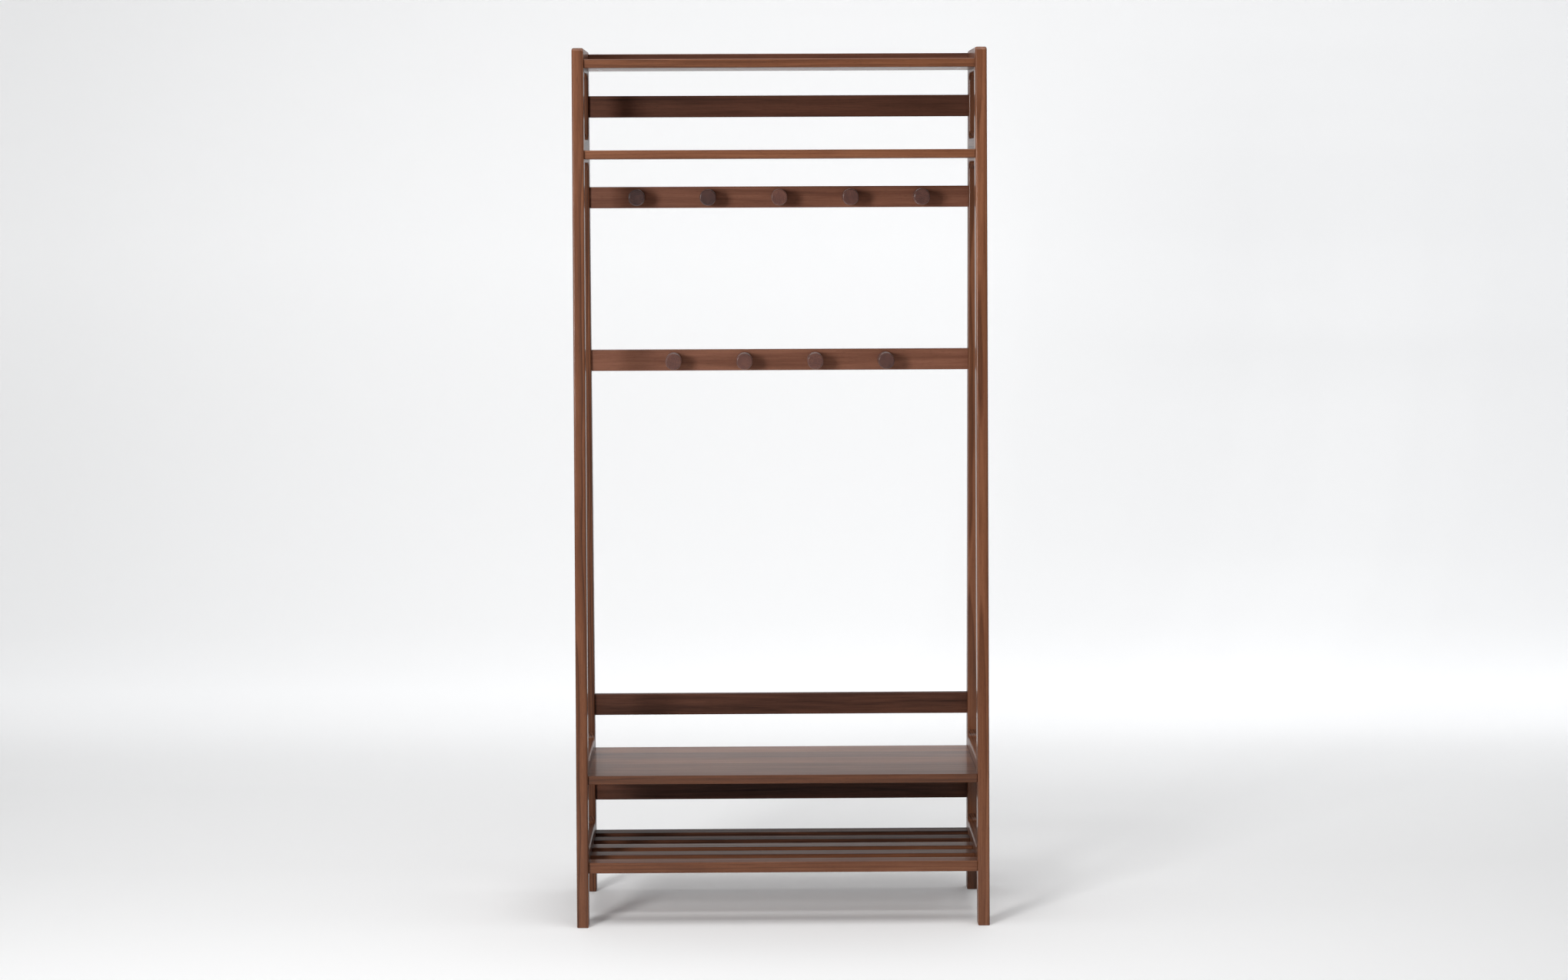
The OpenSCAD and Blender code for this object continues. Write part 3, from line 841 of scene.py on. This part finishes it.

# %% [markdown]
# # Four walnut finishes
# Frame, boards, rails and pegs come from different planks and take the stain differently, so each has
# its own colours around the same figure. The pegs' greyer colours also paint part of the hazy sheen of the
# lacquer on their end grain. End grain drinks more stain and is darker. Over the stain lies a
# satin lacquer, which is what turns the faces pale where one looks along them.

# %% Stains from dark to light, and how the wood takes them
STAIN = (0.024, 0.0078, 0.0038), (0.140, 0.0505, 0.0225), (0.29, 0.120, 0.061)
RAIL_STAIN = (0.024, 0.0078, 0.0042), (0.138, 0.0525, 0.030), (0.29, 0.125, 0.077)
# The pegs' greyer colours are partly painted reflection: the hazy sheen of the lacquer on their end grain.
GREY_STAIN_AND_SHEEN = (0.026, 0.017, 0.018), (0.110, 0.050, 0.040), (0.235, 0.098, 0.068)
STAVE_SHIFT, STAVE_DEPTH, STAVE_CONTRAST = 5.0, 0.02, 0.4
END_DARKER = 0.12
PORE_DARKER = 0.5
# Dark wood takes up more of the lacquer. From the first tone to the second it gets smoother and shinier.
TONES = (0.2, 0.55)
TONE_ROUGHNESS = (0.66, 0.42)
FIGURE_ROUGHNESS = 0.06
THIN_LACQUER = (0.1, 0.34)
PEG_LACQUER = (0.6, 0.35)


def staves_of(tree, places, width):
    """Moves each stave of a glued board, which is another piece of wood, and gives it its own shade."""
    parts = add(tree, "ShaderNodeSeparateXYZ", {0: places})
    stave = calc(tree, "FLOOR", calc(tree, "DIVIDE", parts.outputs["Y"], width))
    luck = add(tree, "ShaderNodeTexWhiteNoise", {"W": stave}, noise_dimensions="1D").outputs["Value"]
    offset = add(tree, "ShaderNodeCombineXYZ", {
        0: calc(tree, "MULTIPLY", luck, STAVE_SHIFT), 2: calc(tree, "MULTIPLY", luck, STAVE_DEPTH),
    })
    shade = calc(tree, "MULTIPLY", calc(tree, "SUBTRACT", luck, 0.5), STAVE_CONTRAST)
    return vector_calc(tree, "ADD", places, offset.outputs[0]), shade


def stain_colour(tree, figure, shade, end, stain):
    """The stained colour of the figure, darker on end grain and in the pores."""
    dark, medium, light = stain
    value = calc(tree, "ADD", figure.outputs["Figure"], shade)
    value = calc(tree, "SUBTRACT", value, calc(tree, "MULTIPLY", end, END_DARKER))
    pores = calc(tree, "MULTIPLY", figure.outputs["Pores"], PORE_DARKER)
    stained = ramp(tree, value, [(0, dark), (0.5, medium), (1, light)])
    mixed = add(tree, "ShaderNodeMix", {"Factor": pores, "A": stained, "B": (*dark, 1)}, data_type="RGBA")
    return mixed.outputs["Result"]


# %% Build the finishes
def stained_walnut(name, ring_width, ring_depth, stain, staves=0.0, coat=THIN_LACQUER):
    material, tree = new_material(name)
    tree.nodes.clear()
    places = add(tree, "ShaderNodeAttribute", attribute_name="grain").outputs["Vector"]
    end = add(tree, "ShaderNodeAttribute", attribute_name="end").outputs["Fac"]
    # The tone attribute holds each piece's tone and, for some pieces, painted shade.
    tone = add(tree, "ShaderNodeAttribute", attribute_name="tone").outputs["Fac"]
    shade = calc(tree, "SUBTRACT", tone, 0.5)
    if staves:
        places, own_shade = staves_of(tree, places, staves)
        shade = calc(tree, "ADD", shade, own_shade)
    rings = {"Grain": places, "Ring width": ring_width, "Ring depth": ring_depth}
    figure = add(tree, "ShaderNodeGroup", rings, node_tree=walnut)
    colour = stain_colour(tree, figure, shade, end, stain)
    smoothed = remap(tree, figure.outputs["Figure"], (0, 1), (FIGURE_ROUGHNESS, -FIGURE_ROUGHNESS))
    rough = calc(tree, "ADD", smoothed, remap(tree, tone, TONES, TONE_ROUGHNESS))
    lacquer = remap(tree, tone, TONES, coat)
    relief = {"Height": figure.outputs["Height"], "Strength": 0.18, "Distance": 0.0003}
    bump = add(tree, "ShaderNodeBump", relief)
    shader = add(tree, "ShaderNodeBsdfPrincipled", {
        "Base Color": colour, "Roughness": rough, "Specular IOR Level": 0.12,
        "Coat Weight": lacquer, "Coat Roughness": 0.16, "Normal": bump.outputs[0],
    })
    add(tree, "ShaderNodeOutputMaterial", {"Surface": shader.outputs[0]})
    return material


finishes = {
    "walnut_frame": stained_walnut("walnut frame", 0.0055, 0.6, STAIN),
    "walnut_board": stained_walnut("walnut board", 0.007, 0.36, STAIN, staves=0.062),
    "walnut_rail": stained_walnut("walnut rail", 0.0065, 0.2, RAIL_STAIN),
    "walnut_peg": stained_walnut("walnut peg", 0.0026, 0.55, GREY_STAIN_AND_SHEEN, coat=PEG_LACQUER),
}
print(list(finishes))

# %% [markdown]
# # Metal and plain dowels
# The hardware is zinc-plated steel, a little cloudy and finely marked. The dowels are raw beech and hidden
# in their joints, but they get a finish too, for anyone who takes the rack apart.

# %% Steel and beech
DARK_ZINC, LIGHT_ZINC = (0.42, 0.43, 0.45), (0.66, 0.66, 0.65)
DARK_BEECH, LIGHT_BEECH = (0.42, 0.26, 0.13), (0.68, 0.48, 0.29)


def zinc_steel():
    material, tree = new_material("zinc steel")
    shader = tree.nodes["Principled BSDF"]
    places = add(tree, "ShaderNodeTexCoord").outputs["Object"]
    marks = add(tree, "ShaderNodeTexNoise", {"Vector": places, "Scale": 900.0, "Detail": 3.0}).outputs[0]
    clouds = add(tree, "ShaderNodeTexNoise", {"Vector": places, "Scale": 140.0, "Detail": 2.0}).outputs[0]
    bump = add(tree, "ShaderNodeBump", {"Height": marks, "Strength": 0.08, "Distance": 0.0001})
    tree.links.new(ramp(tree, clouds, [(0, DARK_ZINC), (1, LIGHT_ZINC)]), shader.inputs["Base Color"])
    tree.links.new(remap(tree, marks, (0, 1), (0.22, 0.48)), shader.inputs["Roughness"])
    tree.links.new(bump.outputs[0], shader.inputs["Normal"])
    shader.inputs["Metallic"].default_value = 1.0
    return material


def raw_beech():
    material, tree = new_material("raw beech")
    shader = tree.nodes["Principled BSDF"]
    places = add(tree, "ShaderNodeTexCoord").outputs["Object"]
    fibres = stretched_noise(tree, places, (60, 300, 300), 3).outputs[0]
    tree.links.new(ramp(tree, fibres, [(0, DARK_BEECH), (1, LIGHT_BEECH)]), shader.inputs["Base Color"])
    shader.inputs["Roughness"].default_value = 0.6
    return material


finishes["zinc_steel"] = zinc_steel()
finishes["beech_dowel"] = raw_beech()
print(len(finishes), "finishes")

# %% [markdown]
# # Put the pieces on the rack
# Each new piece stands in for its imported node, moves with the rack's one body, and takes the finish of
# its slot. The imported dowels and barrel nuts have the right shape, so they stay and only get a finish.

# %% Finish, ride and replace
slots = {row["node"]: row["material_slot"] for row in frame["record"]["subparts"]}
for node, obj in {**wood, **metal}.items():
    obj.data.materials.clear()
    obj.data.materials.append(finishes[slots[node]])
    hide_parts(node)
    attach(obj, "root")
kept = [node for node in frame["nodes"] if node not in wood and node not in metal]
for node in kept:
    mesh = frame["nodes"][node].data
    mesh.materials.clear()
    mesh.materials.append(finishes[slots[node]])
print("kept from the packed model:", kept)

# %% [markdown]
# # Floor, light and camera
# A pale seamless sheet runs over the floor and curves up behind the rack. A large soft light stands at the
# left in front, about level with the rack's top, so that the pegs throw soft shadows to the right. A wide
# light overhead and the bright room fill the rest.

# %% The seamless sheet
SHEET_HALF = 9.0
SWEEP_START = 2.1
SWEEP_R = 1.3
SHEET_RISE = 5.0
bpy.ops.object.select_all(action="DESELECT")
bpy.ops.mesh.primitive_plane_add(size=2, location=(0, 0, 0))
sheet = bpy.context.object
sheet.name = "floor_sheet"
sheet.scale = (SHEET_HALF, 1, 1)
bpy.ops.object.transform_apply(location=True, rotation=True, scale=True)
shift(sheet, lambda p, _: p.y > 0, (0, SWEEP_START - 1, 0))
shift(sheet, lambda p, _: p.y < 0, (0, -SHEET_HALF, 0))
pick(sheet, "EDGE", lambda p, d: along(d, X) and p.y > 0)
bpy.ops.mesh.spin(steps=24, angle=math.pi / 2, center=(0, SWEEP_START, SWEEP_R), axis=(-1, 0, 0))
done()
pick(sheet, "EDGE", lambda p, d: along(d, X) and p.z > SWEEP_R - TINY)
bpy.ops.mesh.extrude_region_move(TRANSFORM_OT_translate={"value": (0, 0, SHEET_RISE)})
done()
only(sheet)
bpy.ops.object.shade_smooth()
pick(sheet, "FACE", lambda p, n: True)
bpy.ops.mesh.normals_make_consistent(inside=False)
done()
if sheet.data.polygons[0].normal.z < 0:
    pick(sheet, "FACE", lambda p, n: True)
    bpy.ops.mesh.flip_normals()
    done()
print("sheet", [round(v, 2) for v in (*box_of(sheet)[0], *box_of(sheet)[1])])

# %% [markdown]
# The sheet is bright by itself where it rises, as if lamps of its own lit it. Far out it fades into the
# pale room, and its back is invisible to the camera, so that the rack can be looked at from all sides.

# %% How bright and how visible the sheet is
PAPER = (0.86, 0.86, 0.86)
PAPER_GLOW = (0.96, 0.975, 1)
SEEN = 0.9
FADE_CENTRE = (0, 1.2, 0)
FADE = (3.5, 5.5)
GLOW_START = 0.4
GLOW = ((0.0, 0.07), (0.3, 0.14), (0.45, 0.20), (0.6, 0.31), (0.69, 0.36), (0.8, 0.29), (1.0, 0.25))
GLOW_SIDES = (-2.2, 2.2)
GLOW_BY_SIDE = (0.8, 1.4)


def own_glow(tree, places):
    """The paper's glow, painted light in place of lamps on the sheet: it follows GLOW from the front to the
    end of the sweep, and grows to the right.
    """
    parts = add(tree, "ShaderNodeSeparateXYZ", {0: places})
    depth = remap(tree, parts.outputs["Y"], (GLOW_START, SWEEP_START + SWEEP_R), (0, 1))
    rise = ramp(tree, depth, [(place, (level, level, level)) for place, level in GLOW])
    return calc(tree, "MULTIPLY", rise, remap(tree, parts.outputs["X"], GLOW_SIDES, GLOW_BY_SIDE))


def faded(tree, places):
    """How far the paper has faded into the room, by its distance along the floor."""
    flat = vector_calc(tree, "MULTIPLY", vector_calc(tree, "SUBTRACT", places, FADE_CENTRE), (1, 1, 0))
    reach = add(tree, "ShaderNodeVectorMath", {0: flat}, operation="LENGTH").outputs["Value"]
    return remap(tree, reach, FADE, (0, 1), interpolation_type="SMOOTHSTEP")


# %% The sheet's paper
def pale_paper():
    material, tree = new_material("pale paper")
    shader = tree.nodes["Principled BSDF"]
    places = add(tree, "ShaderNodeTexCoord").outputs["Object"]
    shader.inputs["Base Color"].default_value = (*PAPER, 1)
    shader.inputs["Roughness"].default_value = 0.9
    shader.inputs["Specular IOR Level"].default_value = 0.1
    shader.inputs["Emission Color"].default_value = (*PAPER_GLOW, 1)
    tree.links.new(own_glow(tree, places), shader.inputs["Emission Strength"])
    to_camera = add(tree, "ShaderNodeLightPath").outputs["Is Camera Ray"]
    back = add(tree, "ShaderNodeNewGeometry").outputs["Backfacing"]
    far = calc(tree, "MULTIPLY", faded(tree, places), to_camera)
    hidden = calc(tree, "MULTIPLY", back, to_camera)
    room = add(tree, "ShaderNodeEmission", {"Strength": SEEN})
    clear = add(tree, "ShaderNodeBsdfTransparent")
    front = add(tree, "ShaderNodeMixShader", {0: far, 1: shader.outputs[0], 2: room.outputs[0]})
    both = add(tree, "ShaderNodeMixShader", {0: hidden, 1: front.outputs[0], 2: clear.outputs[0]})
    tree.links.new(both.outputs[0], tree.nodes["Material Output"].inputs["Surface"])
    return material


sheet.data.materials.append(pale_paper())
print("the sheet is staged in", sheet.data.materials[0].name)


# %% Lights
def soft_light(name, place, aim, size, watts):
    """A rectangular lamp that points at aim."""
    data = bpy.data.lights.new(name, "AREA")
    data.shape = "RECTANGLE"
    data.size, data.size_y = size
    data.energy = watts
    lamp = bpy.data.objects.new(name, data)
    bpy.context.scene.collection.objects.link(lamp)
    lamp.location = place
    lamp.rotation_euler = (Vector(aim) - Vector(place)).to_track_quat("-Z", "Y").to_euler()


soft_light("key", place=(-2.5, -4.35, 1.87), aim=(0, 0, 1.1), size=(1.1, 1.1), watts=161)
soft_light("overhead", place=(0, -0.6, 3.5), aim=(0, 0, 0), size=(3.0, 2.3), watts=72)
print(len(bpy.data.lights), "lights")

# %% [markdown]
# The room in front of the rack is dim, so that the lacquer stays clear there, and the rest is brighter.
# The camera itself sees a pale room in every direction.

# %% The room
FRONT_DIM, REST_BRIGHT = 0.07, 0.28
FRONT, MIDDLE = -0.9, 0.1
world = bpy.data.worlds.new("bright room")
world.use_nodes = True
tree = world.node_tree
direction = add(tree, "ShaderNodeTexCoord").outputs["Generated"]
parts = add(tree, "ShaderNodeSeparateXYZ", {0: direction})
fill = remap(tree, parts.outputs["Y"], (FRONT, MIDDLE), (FRONT_DIM, REST_BRIGHT))
to_camera = add(tree, "ShaderNodeLightPath").outputs["Is Camera Ray"]
strength = add(tree, "ShaderNodeMix", {"Factor": to_camera, "A": fill, "B": SEEN})
background = tree.nodes["Background"]
tree.links.new(strength.outputs["Result"], background.inputs["Strength"])
background.inputs["Color"].default_value = (1, 1, 1, 1)
bpy.context.scene.world = world
bpy.context.scene.view_settings.view_transform = "Standard"
print("room from", FRONT_DIM, "to", REST_BRIGHT)

# %% Camera
SENSOR_MM, LENS_MM = 36, 71.97
EYE = (-0.0615, -6.513, 1.5417)
DOWN, RIGHT, TILT = 5.755, 0.598, 0.238
camera_data = bpy.data.cameras.new("camera")
camera_data.sensor_width = SENSOR_MM
camera_data.lens = LENS_MM
camera = bpy.data.objects.new("camera", camera_data)
bpy.context.scene.collection.objects.link(camera)
camera.location = EYE
camera.rotation_euler = (
    Matrix.Rotation(math.radians(-RIGHT), 4, "Z")
    @ Matrix.Rotation(math.radians(90 - DOWN), 4, "X")
    @ Matrix.Rotation(math.radians(-TILT), 4, "Z")
).to_euler()
bpy.context.scene.camera = camera
print("camera", EYE)
